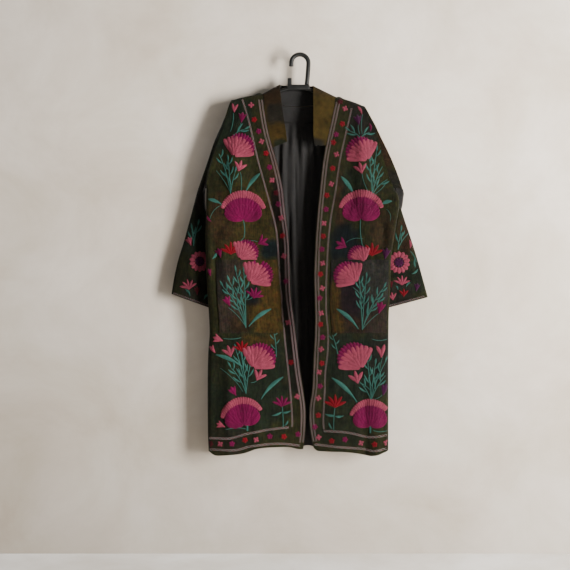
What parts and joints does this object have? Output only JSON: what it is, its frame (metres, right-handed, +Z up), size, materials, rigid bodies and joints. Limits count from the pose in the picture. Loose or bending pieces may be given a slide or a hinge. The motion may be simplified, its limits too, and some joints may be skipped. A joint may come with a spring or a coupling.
{
  "type": "long coat on a hanger",
  "caption": "Long open-front embroidered coat with a band collar and patch pockets, hung flat on a moulded hanger with a hook.",
  "frame": {"origin": "inside of the top of the hanger's hook, on the hanger's middle plane, where a nail or rod carries it", "axes": "+Z up along the coat, -Y out of its front towards the viewer, +X to the viewer's right, which is the wearer's left"},
  "size_m": [0.741, 0.0925, 1.1588],
  "materials": {
    "coat_cloth": "soft matte cotton cloth, dyed in uneven patches of moss, brown, ochre and charcoal, with raised wool embroidery",
    "collar_cloth": "the same matte cloth in olive ochre",
    "lining_cloth": "thin dark grey lining with a slight sheen",
    "hanger_plastic": "moulded black plastic, satin"
  },
  "bodies": {
    "root": {"back_panel": "coat_cloth", "front_right": "coat_cloth", "front_left": "coat_cloth", "sleeve_right": "coat_cloth", "sleeve_left": "coat_cloth", "pocket_right": "coat_cloth", "pocket_left": "coat_cloth", "collar": "collar_cloth", "neck_strip": "lining_cloth", "lining_back": "lining_cloth", "hanger_arms": "hanger_plastic", "hanger_hook": "hanger_plastic"}
  },
  "joints": []
}
